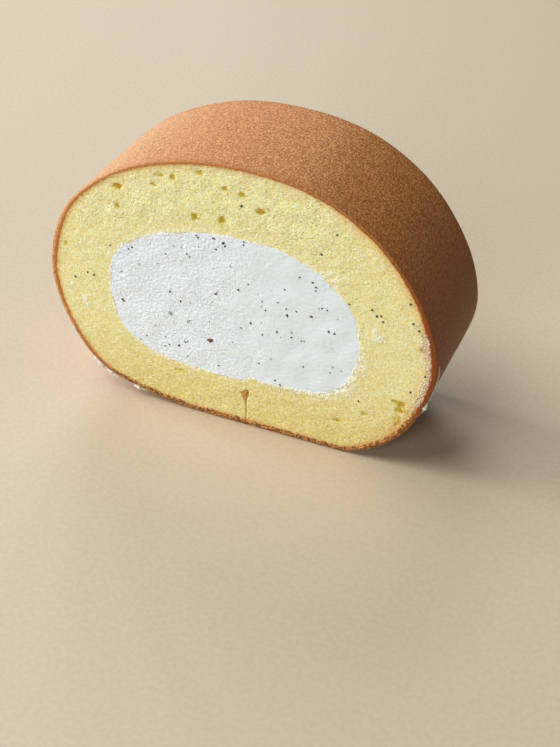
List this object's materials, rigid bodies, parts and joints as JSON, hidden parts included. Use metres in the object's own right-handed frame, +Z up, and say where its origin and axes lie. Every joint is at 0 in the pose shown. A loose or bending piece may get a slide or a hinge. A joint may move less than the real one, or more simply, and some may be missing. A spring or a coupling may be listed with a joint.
{
  "type": "swiss roll cake slice",
  "caption": "Upright slice of Swiss roll: one browned sheet of sponge wrapped round a thick core of vanilla cream, on its flat base.",
  "frame": {"origin": "middle of the flat base, on the surface that the slice stands on", "axes": "+X along the width of the cut face, to the right as seen from the front, +Y from the front cut to the back cut, +Z up"},
  "size_m": [0.1012, 0.033, 0.0737],
  "materials": {
    "sponge": "soft yellow sponge crumb with fine pores at both cuts, and a thin even golden-brown baked skin outside, like suede",
    "cream": "thick whipped cream, cut with a knife, off-white with fine black vanilla seeds"
  },
  "bodies": {
    "root": {"sponge": "sponge", "cream": "cream"}
  },
  "joints": []
}
